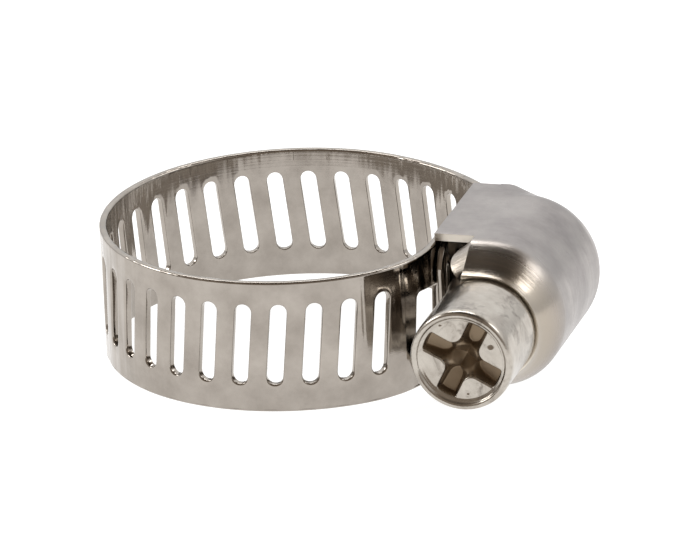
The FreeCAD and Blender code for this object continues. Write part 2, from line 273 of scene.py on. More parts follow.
def strip_place(station):
    """Point on the strip's middle surface at a station, in millimetres."""
    point, heading, start = Vector((FIXED_FACE - STRIP_HALF, FIXED_REACH)), -math.pi / 2, 0.0
    for length, radius in STRETCHES:
        step = min(max(station - start, 0.0), length)
        if radius:
            centre = point + Vector((math.sin(heading), -math.cos(heading))) * radius
            heading -= step / radius
            point = centre + Vector((-math.sin(heading), math.cos(heading))) * radius
        else:
            point = point + Vector((math.cos(heading), math.sin(heading))) * step
        start += length
        if station <= start:
            break
    return point


def ring_station(azimuth):
    """Station on the round part of the ring, from its azimuth in degrees."""
    return ring_start + (-FRONT_TURN - math.radians(azimuth)) % (2 * math.pi) * ring_middle


stops = []
for start, end in zip(ends, ends[1:]):
    count = math.ceil((end - start) / (BEND_STEP if start == bend_start else WAY_STEP))
    stops += [start + (end - start) * step / count for step in range(count)]
stops.append(path_end)
way_curve = bpy.data.curves.new("strip_way", "CURVE")
way_curve.dimensions = "3D"
spline = way_curve.splines.new("POLY")
spline.points.add(len(stops) - 1)
for point, stop in zip(spline.points, stops):
    x, y = strip_place(stop) * MM
    point.co = (x, y, 0.0, 1.0)
strip_way = bpy.data.objects.new("strip_way", way_curve)
bpy.context.scene.collection.objects.link(strip_way)

# the slots match the thread's crests, and a pitch runs from between two slots to the next
crest_y = THREAD_START + PITCH / 2
first_slot = (bend_end + bend_centre_y - crest_y) % PITCH


def pitch_edge(count):
    """Station between two slots, before the slot of that count."""
    return first_slot + (count - 0.5) * PITCH


def pitch_near(station):
    """Count of the pitch whose first edge is nearest to a station."""
    return round((station - first_slot) / PITCH + 0.5)


# ---------------------------------------------------------------- stainless strip, its finish
# Cold-rolled 18-8 stainless, bright but not polished: the rolls leave fine lines along
# the strip, the pickling leaves it slightly cloudy, and handling leaves faint rubs.
def linear(code):
    """sRGB hex colour as the linear colour a shader takes."""
    parts = [int(code[place:place + 2], 16) / 255 for place in (1, 3, 5)]
    return [part / 12.92 if part <= 0.04045 else ((part + 0.055) / 1.055) ** 2.4 for part in parts] + [1.0]


def node(tree, kind, links=None, **settings):
    """Adds a node with its settings, and its links or values by socket name or number."""
    made = tree.nodes.new(kind)
    for name, value in settings.items():
        setattr(made, name, value)
    for socket, value in (links or {}).items():
        target = made.inputs[socket]
        if isinstance(value, bpy.types.NodeSocket):
            tree.links.new(value, target)
        else:
            target.default_value = value
    return made


def ramp_stops(ramp, stops):
    """Sets a colour ramp's stops from (place, grey or hex) pairs."""
    elements = ramp.color_ramp.elements
    while len(elements) < len(stops):
        elements.new(0.5)
    for element, (place, colour) in zip(elements, stops):
        element.position = place
        element.color = linear(colour) if isinstance(colour, str) else (colour, colour, colour, 1.0)


def new_metal(name):
    """An empty metal material with its shader and output."""
    material = bpy.data.materials.new(name)
    material.use_nodes = True
    tree = material.node_tree
    tree.nodes.clear()
    shader = node(tree, "ShaderNodeBsdfPrincipled", {"Metallic": 1.0})
    node(tree, "ShaderNodeOutputMaterial", {"Surface": shader.outputs["BSDF"]})
    return material, tree, shader


rolled_steel, tree, shader = new_metal("cold_rolled_stainless")
place = node(tree, "ShaderNodeAttribute", attribute_name="strip_place").outputs["Vector"]
# roll lines run along the strip, a tenth of a millimetre apart
lines_place = node(tree, "ShaderNodeMapping", {"Vector": place, "Scale": (60.0, 2000.0, 9000.0)})
roll_lines = node(tree, "ShaderNodeTexNoise", {"Vector": lines_place.outputs["Vector"], "Scale": 1.0,
                                               "Detail": 4.0, "Roughness": 0.6})
# clouds of a millimetre or two
clouds = node(tree, "ShaderNodeTexNoise", {"Vector": place, "Scale": 420.0, "Detail": 5.0,
                                           "Roughness": 0.62})
cloud_tone = node(tree, "ShaderNodeValToRGB", {"Fac": clouds.outputs["Fac"]})
ramp_stops(cloud_tone, ((0.30, "#958E86"), (0.68, "#ACA59D")))
tree.links.new(cloud_tone.outputs["Color"], shader.inputs["Base Color"])
gloss = node(tree, "ShaderNodeMapRange", {"Value": clouds.outputs["Fac"], "From Min": 0.3, "From Max": 0.7,
                                          "To Min": 0.13, "To Max": 0.05})
streak_gloss = node(tree, "ShaderNodeMapRange", {"Value": roll_lines.outputs["Fac"], "From Min": 0.3,
                                                 "From Max": 0.7, "To Min": -0.03, "To Max": 0.05})
rough = node(tree, "ShaderNodeMath", {0: gloss.outputs["Result"], 1: streak_gloss.outputs["Result"]},
             operation="ADD")
tree.links.new(rough.outputs["Value"], shader.inputs["Roughness"])
# a ripple across the strip, left by bending it past its slots, and the roll lines on it
ripple_place = node(tree, "ShaderNodeMapping", {"Vector": place, "Scale": (850.0, 850.0, 90.0)})
ripple = node(tree, "ShaderNodeTexNoise", {"Vector": ripple_place.outputs["Vector"], "Scale": 1.0,
                                           "Detail": 2.0})
ripple_bump = node(tree, "ShaderNodeBump", {"Height": ripple.outputs["Fac"], "Strength": 0.90,
                                            "Distance": 0.00012})
line_bump = node(tree, "ShaderNodeBump", {"Height": roll_lines.outputs["Fac"], "Strength": 0.18,
                                          "Distance": 0.00001, "Normal": ripple_bump.outputs["Normal"]})
tree.links.new(line_bump.outputs["Normal"], shader.inputs["Normal"])

# ---------------------------------------------------------------- the band
# The flat pitches are laid end to end and rolled round the way above. The band is in
# six runs, one after another round the ring.
group = bpy.data.node_groups.new("rolled_strip", "GeometryNodeTree")
for name, kind, way in (("Geometry", "NodeSocketGeometry", "INPUT"),
                        ("Pitch of strip", "NodeSocketObject", "INPUT"),
                        ("Way", "NodeSocketObject", "INPUT"), ("Pitches", "NodeSocketInt", "INPUT"),
                        ("First station", "NodeSocketFloat", "INPUT"),
                        ("Pitch length", "NodeSocketFloat", "INPUT"),
                        ("Finish", "NodeSocketMaterial", "INPUT"),
                        ("Geometry", "NodeSocketGeometry", "OUTPUT")):
    group.interface.new_socket(name, in_out=way, socket_type=kind)
given = node(group, "NodeGroupInput").outputs
first = node(group, "ShaderNodeCombineXYZ", {"X": given["First station"]})
step = node(group, "ShaderNodeCombineXYZ", {"X": given["Pitch length"]})
row = node(group, "GeometryNodeMeshLine", {"Count": given["Pitches"], "Start Location": first.outputs[0],
                                           "Offset": step.outputs[0]}, mode="OFFSET")
cell = node(group, "GeometryNodeObjectInfo", {"Object": given["Pitch of strip"]})
laid = node(group, "GeometryNodeInstanceOnPoints",
            {"Points": row.outputs["Mesh"], "Instance": cell.outputs["Geometry"]})
real = node(group, "GeometryNodeRealizeInstances", {"Geometry": laid.outputs["Instances"]})
joined = node(group, "GeometryNodeJoinGeometry")
group.links.new(real.outputs["Geometry"], joined.inputs["Geometry"])
group.links.new(given["Geometry"], joined.inputs["Geometry"])
merged = node(group, "GeometryNodeMergeByDistance",
              {"Geometry": joined.outputs["Geometry"], "Distance": MERGE})
flat_place = node(group, "GeometryNodeInputPosition").outputs[0]
kept = node(group, "GeometryNodeStoreNamedAttribute",
            {"Geometry": merged.outputs["Geometry"], "Name": "strip_place", "Value": flat_place},
            data_type="FLOAT_VECTOR", domain="POINT")
stored = node(group, "GeometryNodeInputNamedAttribute", {"Name": "strip_place"}, data_type="FLOAT_VECTOR")
parts = node(group, "ShaderNodeSeparateXYZ", {"Vector": stored.outputs["Attribute"]})
way_info = node(group, "GeometryNodeObjectInfo", {"Object": given["Way"]})
on_way = node(group, "GeometryNodeSampleCurve",
              {"Curves": way_info.outputs["Geometry"], "Length": parts.outputs["X"]}, mode="LENGTH")
outward = node(group, "ShaderNodeVectorMath", {0: (0.0, 0.0, 1.0), 1: on_way.outputs["Tangent"]},
               operation="CROSS_PRODUCT")
off_way = node(group, "ShaderNodeVectorMath", {0: outward.outputs["Vector"], "Scale": parts.outputs["Y"]},
               operation="SCALE")
raised = node(group, "ShaderNodeCombineXYZ", {"Z": parts.outputs["Z"]})
beside = node(group, "ShaderNodeVectorMath", {0: on_way.outputs["Position"], 1: off_way.outputs["Vector"]},
              operation="ADD")
rolled = node(group, "ShaderNodeVectorMath", {0: beside.outputs["Vector"], 1: raised.outputs[0]},
              operation="ADD")
bent = node(group, "GeometryNodeSetPosition", {"Geometry": kept.outputs["Geometry"],
                                               "Position": rolled.outputs["Vector"]})
finished = node(group, "GeometryNodeSetMaterial",
                {"Geometry": bent.outputs["Geometry"], "Material": given["Finish"]})
node(group, "NodeGroupOutput", {"Geometry": finished.outputs["Geometry"]})

slot_rim = hole_rim(0.0, SLOT_REACH)
pitch_mesh = pierced("pitch_of_strip", slot_rim, SLOT_RADIUS, inner_outline(PITCH))
pitch_object = bpy.data.objects.new("pitch_of_strip", pitch_mesh)


def smooth_faces(mesh, crease):
    """Smooth shading, with edges sharper than the crease kept."""
    mesh.shade_smooth()
    mesh.set_sharp_from_angle(angle=math.radians(crease))


def closed_copy(source, name):
    """The evaluated object as a plain closed mesh with its faces outwards."""
    bpy.context.view_layer.update()
    depsgraph = bpy.context.evaluated_depsgraph_get()
    mesh = bpy.data.meshes.new_from_object(source.evaluated_get(depsgraph), depsgraph=depsgraph)
    mesh.name = name
    work = bmesh.new()
    work.from_mesh(mesh)
    bmesh.ops.remove_doubles(work, verts=work.verts, dist=WELD)
    open_edges = [edge for edge in work.edges if edge.is_boundary]
    if open_edges:
        bmesh.ops.holes_fill(work, edges=open_edges, sides=0)
    bmesh.ops.recalc_face_normals(work, faces=work.faces)
    work.to_mesh(mesh)
    work.free()
    return mesh


def rolled_run(name, first_pitch, end_pitch, extra):
    """A run of strip: whole pitches, and any extra flat lengths, rolled round the way."""
    base = bpy.data.meshes.new(name + "_flat")
    work = bmesh.new()
    for mesh in extra:
        work.from_mesh(mesh)
    work.to_mesh(base)
    work.free()
    flat = bpy.data.objects.new(name + "_flat", base)
    bpy.context.scene.collection.objects.link(flat)
    bpy.context.scene.collection.objects.link(pitch_object)
    rolling = flat.modifiers.new("rolling", "NODES")
    rolling.node_group = group
    values = {"Pitch of strip": pitch_object, "Way": strip_way, "Finish": rolled_steel,
              "Pitches": end_pitch - first_pitch, "Pitch length": PITCH * MM,
              "First station": (pitch_edge(first_pitch) + PITCH / 2) * MM}
    for item in group.interface.items_tree:
        if item.in_out == "INPUT" and item.name in values:
            rolling[item.identifier] = values[item.name]
    mesh = closed_copy(flat, name)
    bpy.data.objects.remove(flat)
    bpy.context.scene.collection.objects.unlink(pitch_object)
    mesh.materials.clear()
    mesh.materials.append(rolled_steel)
    smooth_faces(mesh, 40)
    run = bpy.data.objects.new(name, mesh)
    bpy.context.scene.collection.objects.link(run)
    return run


def strip_point(azimuth):
    """A point on the ring in metres."""
    x, y = strip_place(ring_station(azimuth)) * MM
    return (x, y, 0.0)


# beside the mouth a round-cornered window takes the place of the slots
WINDOW_START, WINDOW_END, WINDOW_HEIGHT, WINDOW_CORNER = 4.65, 7.37, 3.0, 0.35
WINDOW_MARGIN = 0.6
SLOT_CLEAR = 0.73            # from the window to the nearest place for a slot's middle
BEND_CLEAR = 0.03            # the ring's end and the bend stop this far apart
TAIL_CORNER = 1.85
window_middle, window_half = (WINDOW_START + WINDOW_END) / 2, (WINDOW_END - WINDOW_START) / 2
window_rim = hole_rim(window_half - WINDOW_CORNER, WINDOW_HEIGHT / 2 - WINDOW_CORNER)
window_outline = inner_outline(2 * (window_half + WINDOW_MARGIN))
window_length = pierced("window", window_rim, WINDOW_CORNER, window_outline, window_middle)
first_pitch = math.ceil((WINDOW_END + SLOT_CLEAR - first_slot) / PITCH)
front_seam, far_seam, back_seam, entry_seam = (
    pitch_near(ring_station(azimuth)) for azimuth in (-125, 180, 125, 74))
last_before_bend = math.floor((bend_start - BEND_CLEAR - first_slot) / PITCH + 0.5)
first_after_bend = math.ceil((bend_start - first_slot) / PITCH + 0.5)
end_pitch = pitch_near(path_end - TAIL_CORNER)

mouth_lengths = [plain_length("fixed_end", 0.0, WINDOW_START - WINDOW_MARGIN),
                 window_length,
                 plain_length("after_window", WINDOW_END + WINDOW_MARGIN, pitch_edge(first_pitch))]
mouth_run = rolled_run("band_mouth_run", first_pitch, front_seam, mouth_lengths)
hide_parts("band_fixed_end")
strip_point(-80)
strip_point(-120)
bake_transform(mouth_run)
front_run = rolled_run("band_front_run", front_seam, far_seam, [])
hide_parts("band_front")
strip_point(-130)
strip_point(-170)
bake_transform(front_run)
far_run = rolled_run("band_far_run", far_seam, back_seam, [])
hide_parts("band_far_side")
strip_point(170)
strip_point(130)
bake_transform(far_run)
back_run = rolled_run("band_back_run", back_seam, entry_seam, [])
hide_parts("band_back")
strip_point(120)
strip_point(80)
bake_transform(back_run)
entry_lengths = [plain_length("before_bend", pitch_edge(last_before_bend), bend_start - BEND_CLEAR)]
entry_run = rolled_run("band_entry_run", entry_seam, last_before_bend, entry_lengths)
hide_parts("band_entry")
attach(entry_run, "entry")
free_end_middle = pitch_edge(end_pitch) + PITCH / 2
tail_lengths = [plain_length("bend", bend_start, pitch_edge(first_after_bend)),
                pierced("free_end", slot_rim, SLOT_RADIUS, free_end_outline(TAIL_CORNER), free_end_middle)]
tail_run = rolled_run("band_tail_run", first_after_bend, end_pitch, tail_lengths)
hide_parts("band_tail")
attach(tail_run, "tail")
bpy.data.objects.remove(strip_way)
bpy.data.objects.remove(pitch_object)

# ---------------------------------------------------------------- the housing, its finish
# Nickel-plated steel sheet, drawn in a die: satin, with fine draw lines that run
# round the dome, the way the sheet was drawn, and a neck burnished by the die.
satin_nickel, tree, shader = new_metal("satin_nickel_plate")
place = node(tree, "ShaderNodeTexCoord").outputs["Object"]
draw_place = node(tree, "ShaderNodeMapping", {"Vector": place, "Rotation": (0.0, 0.0, 0.06),
                                              "Scale": (240.0, 5200.0, 240.0)})
draw_lines = node(tree, "ShaderNodeTexNoise", {"Vector": draw_place.outputs["Vector"], "Scale": 1.0,
                                               "Detail": 5.0, "Roughness": 0.65})
plate_clouds = node(tree, "ShaderNodeTexNoise",
                    {"Vector": place, "Scale": 380.0, "Detail": 6.0, "Roughness": 0.6})
plate_tone = node(tree, "ShaderNodeValToRGB", {"Fac": plate_clouds.outputs["Fac"]})
ramp_stops(plate_tone, ((0.32, "#8C8786"), (0.66, "#A39E9B")))
plate_gloss = node(tree, "ShaderNodeMapRange", {"Value": plate_clouds.outputs["Fac"], "From Min": 0.3,
                                                "From Max": 0.7, "To Min": 0.36, "To Max": 0.28})
line_gloss = node(tree, "ShaderNodeMapRange", {"Value": draw_lines.outputs["Fac"], "From Min": 0.35,
                                               "From Max": 0.65, "To Min": -0.03, "To Max": 0.06})
rough = node(tree, "ShaderNodeMath", {0: plate_gloss.outputs["Result"], 1: line_gloss.outputs["Result"]},
             operation="ADD")
# the neck, from the mouth to the head, rubbed smooth and a little warm
along_screw = node(tree, "ShaderNodeSeparateXYZ", {"Vector": place}).outputs["Y"]
burnished = node(tree, "ShaderNodeMapRange",
                 {"Value": along_screw, "From Min": -0.0054, "From Max": -0.0030,
                  "To Min": 1.0, "To Max": 0.0}, interpolation_type="SMOOTHSTEP")
neck_rough = node(tree, "ShaderNodeMix", {"Factor": burnished.outputs["Result"], 2: rough.outputs["Value"],
                                          3: 0.23})
tree.links.new(neck_rough.outputs[0], shader.inputs["Roughness"])
neck_tone = node(tree, "ShaderNodeMix",
                 {"Factor": burnished.outputs["Result"], 6: plate_tone.outputs["Color"],
                  7: linear("#ACA397")}, data_type="RGBA")
# painted highlight: surfaces turned toward the head, the cut edges at the mouth and nose among them, get a
# brighter colour in place of their glint
surface_way = node(tree, "ShaderNodeTexCoord").outputs["Normal"]
facing = node(tree, "ShaderNodeSeparateXYZ", {"Vector": surface_way}).outputs["Y"]
painted_edge_highlight = node(tree, "ShaderNodeMapRange", {"Value": facing, "From Min": -0.96, "From Max": -0.80,
                                            "To Min": 1.0, "To Max": 0.0})
highlight_edge_tone = node(tree, "ShaderNodeMix", {"Factor": painted_edge_highlight.outputs["Result"], 6: neck_tone.outputs[2],
                                         7: linear("#DAD3C8")}, data_type="RGBA")
tree.links.new(highlight_edge_tone.outputs[2], shader.inputs["Base Color"])
grain = node(tree, "ShaderNodeTexNoise", {"Vector": place, "Scale": 2600.0, "Detail": 3.0})
grain_bump = node(tree, "ShaderNodeBump", {"Height": grain.outputs["Fac"], "Strength": 0.3,
                                           "Distance": 0.00002})
draw_bump = node(tree, "ShaderNodeBump", {"Height": draw_lines.outputs["Fac"], "Strength": 0.5,
                                          "Distance": 0.00003, "Normal": grain_bump.outputs["Normal"]})
tree.links.new(draw_bump.outputs["Normal"], shader.inputs["Normal"])

# ---------------------------------------------------------------- the housing
# One piece of 0.46 mm sheet drawn to a dome over the screw: flat side walls, a nose that
# necks in round the screw's head, and a far end that closes over the screw's tip.
SHEET, WALL_FLOOR, NOSE_FLOOR, FAR_FLOOR, MOUTH_Y = 0.46, 9.66, 12.10, 11.30, -2.95
DOME_PROFILE = (4.50, 12.40, 4.50, 13.05)      # half width, side top, crown radius, crown centre
NOSE_PROFILE = (3.20, 12.40, 3.20, 13.40)
FAR_PROFILE = (4.50, 11.90, 3.10, 13.40)
NECK_START, NECK_END, NOSE_END = -3.40, -6.25, -6.05
EDGE_SPREAD, SPREAD_HEIGHT, SPREAD_LIMIT = 0.85, 0.6, 1.2   # the die spreads the nose's cut edges
CUT_ROUND = 0.08
FAR_START, FAR_END, FAR_TURN, FAR_PLATE = 3.77, 6.09, 0.60, 1.90
LOW_STEPS, WALL_STEPS, CORNER_STEPS, SLOPE_STEPS, CROWN_STEPS = 4, 3, 4, 3, 40
NECK_ROWS, FAR_ROWS, TURN_ROWS, PLATE_ROWS = 20, 14, 7, 4
CORNER_SOFT = 0.28


def mixed(first, last, share):
    """Profile between two others."""
    return [a + share * (b - a) for a, b in zip(first, last)]


def arch_half(shape, inset, start):
    """One side and half the crown of a profile, from a height up, as (height, half width)."""
    half, spring, radius, centre = shape
    rise = spring - centre
    touch = math.atan2(half, rise) - math.acos(min(1.0, radius / math.hypot(half, rise)))
    corner = Vector((spring - inset * math.cos(touch) / (1 + math.sin(touch)), half - inset))
    crown = radius - inset
    touching = Vector((centre + crown * math.cos(touch), crown * math.sin(touch)))
    slope = (touching - corner).normalized()
    soft = min(CORNER_SOFT, (corner.x - start) * 0.8)
    before, after = corner - Vector((soft, 0)), corner + slope * soft
    points = [Vector((start + (before.x - start) * step / WALL_STEPS, corner.y))
              for step in range(WALL_STEPS)]
    for step in range(CORNER_STEPS):
        share = step / CORNER_STEPS
        points.append(before * (1 - share) ** 2 + corner * 2 * share * (1 - share) + after * share ** 2)
    points += [after + (touching - after) * step / SLOPE_STEPS for step in range(SLOPE_STEPS)]
    for step in range(CROWN_STEPS // 2 + 1):
        angle = touch * (1 - 2 * step / CROWN_STEPS)
        points.append(Vector((centre + crown * math.cos(angle), crown * math.sin(angle))))
    return points


def eased(share):
    """Starts and ends level, between 0 and 1."""
    share = min(max(share, 0.0), 1.0)
    return share * share * (3 - 2 * share)


def neck_shape(y):
    """Profile of the neck at one y, between the dome's and the nose's."""
    return mixed(DOME_PROFILE, NOSE_PROFILE, eased((NECK_START - y) / (NECK_START - NECK_END)))


def far_shape(y):
    """Profile at one y where the dome closes in toward the far end."""
    share = (y - FAR_START) / (FAR_END - FAR_START)
    return mixed(DOME_PROFILE, FAR_PROFILE, share * share)


def housing_row(y, shape, inset, start):
    """One row of points across the housing at one y, wall foot to wall foot."""
    half = arch_half(shape, inset, start)
    foot = [Vector((WALL_FLOOR + (start - WALL_FLOOR) * step / LOW_STEPS, half[0].y))
            for step in range(LOW_STEPS)]
    side = foot + half
    return [(x, y, -z) for x, z in side] + [(x, y, z) for x, z in side[-2::-1]]


rows, low_from, low_to = [], None, None
for step in range(NECK_ROWS):
    y = NOSE_END + (NECK_START - NOSE_END) * step / NECK_ROWS
    rows.append(housing_row(y, neck_shape(y), 0.0, NOSE_FLOOR))
for y in (NECK_START, -3.25, -3.10, MOUTH_Y, -2.5, -2.0, -1.3, -0.6, 0.2, 1.0, 1.8, 2.5, 3.1, 3.45):
    if y == MOUTH_Y:
        low_from = len(rows)
    start = NOSE_FLOOR + (FAR_FLOOR - NOSE_FLOOR) * eased((y - MOUTH_Y) / (FAR_START - MOUTH_Y))
    rows.append(housing_row(y, DOME_PROFILE, 0.0, start))
for step in range(FAR_ROWS + 1):
    y = FAR_START + (FAR_END - FAR_TURN - FAR_START) * step / FAR_ROWS
    rows.append(housing_row(y, far_shape(y), 0.0, FAR_FLOOR))
low_to = len(rows) - 1
for step in range(1, TURN_ROWS + 1):           # the turn down to the end wall
    turn = math.pi / 2 * step / TURN_ROWS
    y = FAR_END - FAR_TURN * (1 - math.sin(turn))
    inset = FAR_TURN * (1 - math.cos(turn))
    rows.append(housing_row(y, far_shape(y), inset, FAR_FLOOR))
for step in range(1, PLATE_ROWS + 1):
    inset = FAR_TURN + (FAR_PLATE - FAR_TURN) * step / PLATE_ROWS
    rows.append(housing_row(FAR_END, FAR_PROFILE, inset, FAR_FLOOR))

width = len(rows[0])
faces = []
for row in range(len(rows) - 1):
    for column in range(width - 1):
        low = column < LOW_STEPS or column >= width - 1 - LOW_STEPS
        if low and not low_from <= row < low_to:
            continue
        faces.append((row * width + column, (row + 1) * width + column, (row + 1) * width + column + 1,
                      row * width + column + 1))
last = (len(rows) - 1) * width
for column in range(LOW_STEPS, (width - 1) // 2):   # the middle of the end wall
    left, right = last + column, last + width - 1 - column
    faces.append((left, right, right - 1, left + 1) if right - 1 != left + 1 else (left, right, left + 1))
shell = bpy.data.meshes.new("housing_shell")
shell.from_pydata([Vector(point) * MM for row in rows for point in row], [], faces)
work = bmesh.new()
work.from_mesh(shell)
bmesh.ops.delete(work, geom=[corner for corner in work.verts if not corner.link_faces], context="VERTS")
bmesh.ops.remove_doubles(work, verts=work.verts, dist=WELD)
bmesh.ops.recalc_face_normals(work, faces=work.faces)
crown_face = max(work.faces, key=lambda face: face.calc_center_median().x)
if crown_face.normal.x < 0:
    bmesh.ops.reverse_faces(work, faces=work.faces)
work.to_mesh(shell)
work.free()
pressing = bpy.data.objects.new("housing_pressing", shell)
bpy.context.scene.collection.objects.link(pressing)
wall = pressing.modifiers.new("sheet", "SOLIDIFY")
wall.thickness, wall.offset, wall.use_even_offset = SHEET * MM, -1.0, True
edge = pressing.modifiers.new("cut_edges", "BEVEL")
edge.width, edge.segments = CUT_ROUND * MM, 3
edge.limit_method, edge.angle_limit = "ANGLE", math.radians(50)
housing_mesh = closed_copy(pressing, "clamp_housing")
bpy.data.objects.remove(pressing)
# the lips of the nose, where the die pressed their inner edges down beside the mouth
for corner in housing_mesh.vertices:
    x, y, z = corner.co / MM
    along = (y - NOSE_END) / (MOUTH_Y - NOSE_END)
    if 0.0 < along < 1.0 and x < NOSE_FLOOR + SPREAD_HEIGHT:
        outside = housing_row(y, neck_shape(y), 0.0, NOSE_FLOOR)[-1][2]
        sunk = min(max((outside - abs(z)) / SHEET, 0.0), SPREAD_LIMIT)
        near = 1 - eased((x - NOSE_FLOOR) / SPREAD_HEIGHT)
        corner.co.x -= EDGE_SPREAD * MM * math.sin(math.pi * along) * sunk * near
housing_mesh.materials.append(satin_nickel)
smooth_faces(housing_mesh, 45)
clamp_housing = bpy.data.objects.new("clamp_housing", housing_mesh)
bpy.context.scene.collection.objects.link(clamp_housing)
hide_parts("housing")
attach(clamp_housing, "housing_body")

# ---------------------------------------------------------------- the worm screw, its finish
# Cold-headed steel wire, zinc-nickel plated: semi-bright, a little lumpy from barrel
# plating, with painted brown shade in the cross recess, darker the deeper it is.
plated, tree, shader = new_metal("barrel_plated_nickel")
place = node(tree, "ShaderNodeTexCoord").outputs["Object"]
mottle = node(tree, "ShaderNodeTexNoise", {"Vector": place, "Scale": 700.0, "Detail": 5.0,
                                           "Roughness": 0.6})
plated_tone = node(tree, "ShaderNodeValToRGB", {"Fac": mottle.outputs["Fac"]})
ramp_stops(plated_tone, ((0.34, "#A8A198"), (0.64, "#BDB7AE")))
stains = node(tree, "ShaderNodeTexNoise", {"Vector": place, "Scale": 520.0, "Detail": 6.0,
                                           "Roughness": 0.68, "Distortion": 0.6})
stained = node(tree, "ShaderNodeMapRange",
               {"Value": stains.outputs["Fac"], "From Min": 0.50, "From Max": 0.68,
                "To Min": 0.0, "To Max": 0.85}, interpolation_type="SMOOTHSTEP")
stain_tone = node(tree, "ShaderNodeMix",
                  {"Factor": stained.outputs["Result"], 6: plated_tone.outputs["Color"],
                   7: linear("#6E665E")}, data_type="RGBA")
# painted shade: the deeper a place in the cross recess, the browner and darker its colour, and the rougher
sunk = node(tree, "ShaderNodeAttribute", attribute_name="sunk").outputs["Fac"]
recess_painted_shade = node(tree, "ShaderNodeMix", {"Factor": sunk, 6: stain_tone.outputs[2], 7: linear("#8A7A66")},
                   data_type="RGBA")
tree.links.new(recess_painted_shade.outputs[2], shader.inputs["Base Color"])
rough = node(tree, "ShaderNodeMapRange", {"Value": mottle.outputs["Fac"], "From Min": 0.3, "From Max": 0.7,
                                          "To Min": 0.27, "To Max": 0.17})
recess_rough = node(tree, "ShaderNodeMix", {"Factor": sunk, 2: rough.outputs["Result"], 3: 0.46})
tree.links.new(recess_rough.outputs[0], shader.inputs["Roughness"])
lumps = node(tree, "ShaderNodeTexNoise", {"Vector": place, "Scale": 900.0, "Detail": 2.0})
lump_bump = node(tree, "ShaderNodeBump", {"Height": lumps.outputs["Fac"], "Strength": 0.5,
                                          "Distance": 0.00006})
tree.links.new(lump_bump.outputs["Normal"], shader.inputs["Normal"])

# ---------------------------------------------------------------- the worm screw
# Headed and thread-rolled in one piece: a round head with a raised rim and a cross
# recess, a groove that the nose's lip sits in, a core and one rolled thread.
SCREW_X, HEAD_FACE, FACE_REACH, HEAD_RADIUS = 13.40, -11.00, 2.38, 3.05
RECESS_HALF, RECESS_TIP, RECESS_DEPTH = 0.60, 0.64, 1.30
RECESS_TURN = math.radians(27)
RECESS_EDGE = 0.07                             # half the width of the rounding at its edge
STEEP_MIDDLE, STEEP_ARM, STEEP_FROM, STEEP_OVER = 1.25, 5.0, 0.7, 0.8
FLOOR_RISE, FLOOR_ROUND = 0.28, 0.25           # the floor rises outward and meets the walls in a round
ARM_STOP, ARM_FADE = 0.07, 0.08                # the arms stop short of the rim
SHADE_DEPTH = 0.5                              # the recess is at its brownest from this depth
CORE_RADIUS, CREST_HALF, ROOT_HALF, THREAD_END, THREAD_FADE = 2.60, 0.18, 0.45, 4.45, 0.5
CORE_FROM, CORE_TO, CORE_ROWS = -4.66, 5.36, 190
# small beads of plating on the face: place, height and half width
NIBS = ((1.76, 0.74, 0.13, 0.30), (-1.20, 1.98, 0.07, 0.15), (0.30, -2.15, 0.06, 0.14))
COLUMNS, FACE_RINGS = 240, 60


def recess_depth(x, z):
    """How deep the cross recess is at a place on the head's face."""
    along = abs(x * math.cos(RECESS_TURN) - z * math.sin(RECESS_TURN))
    across = abs(x * math.sin(RECESS_TURN) + z * math.cos(RECESS_TURN))
    first = RECESS_TIP - (along - RECESS_HALF)
    second = RECESS_TIP - (across - RECESS_HALF)
    inside = min(max(first, second), 0.0) + math.hypot(max(first, 0.0), max(second, 0.0)) - RECESS_TIP
    if inside <= -RECESS_EDGE:
        return 0.0
    wall = inside if inside >= RECESS_EDGE else (inside + RECESS_EDGE) ** 2 / (4 * RECESS_EDGE)
    reach = math.hypot(x, z)
    steep = STEEP_MIDDLE + (STEEP_ARM - STEEP_MIDDLE) * eased((reach - STEEP_FROM) / STEEP_OVER)
    floor = RECESS_DEPTH - FLOOR_RISE * reach
    deep = wall * steep
    blend = max(FLOOR_ROUND - abs(deep - floor), 0.0)
    return min(deep, floor) - blend * blend


def thread_height(angle, y):
    """Radius of the threaded core at an angle and a place along it."""
    crest = THREAD_START + PITCH * angle / (2 * math.pi)
    off = (y - crest + PITCH / 2) % PITCH - PITCH / 2
    rise = min(max((ROOT_HALF - abs(off)) / (ROOT_HALF - CREST_HALF), 0.0), 1.0)
    started = eased((y - off - THREAD_START + THREAD_FADE) / THREAD_FADE)
    ended = eased((THREAD_END + THREAD_FADE - y + off) / THREAD_FADE)
    return CORE_RADIUS + (THREAD_RADIUS - CORE_RADIUS) * rise * started * ended


def turned_ring(radius, y):
    """One row of the screw's surface, square to its axis."""
    return [(SCREW_X + radius * math.cos(angle), y, -radius * math.sin(angle)) for angle in angles]


def nib_height(x, z):
    """How far the beads of plating stand up at a place on the head's face."""
    return sum(tall * math.exp(-((x - at_x) ** 2 + (z - at_z) ** 2) / (wide * wide / 2))
               for at_x, at_z, tall, wide in NIBS)


points, recess_shade_values = [], []
angles = [2 * math.pi * column / COLUMNS for column in range(COLUMNS)]
for ring in range(FACE_RINGS + 1):
    radius = FACE_REACH * ring / FACE_RINGS
    for angle in angles:
        x, z = radius * math.cos(angle), -radius * math.sin(angle)
        depth = recess_depth(x, z) * (1 - eased((radius - FACE_REACH + ARM_STOP) / ARM_FADE))
        points.append((SCREW_X + x, HEAD_FACE + depth - nib_height(x, z), z))
        # how much painted shade the recess gets at this depth
        recess_shade_values.append(eased(depth / SHADE_DEPTH))
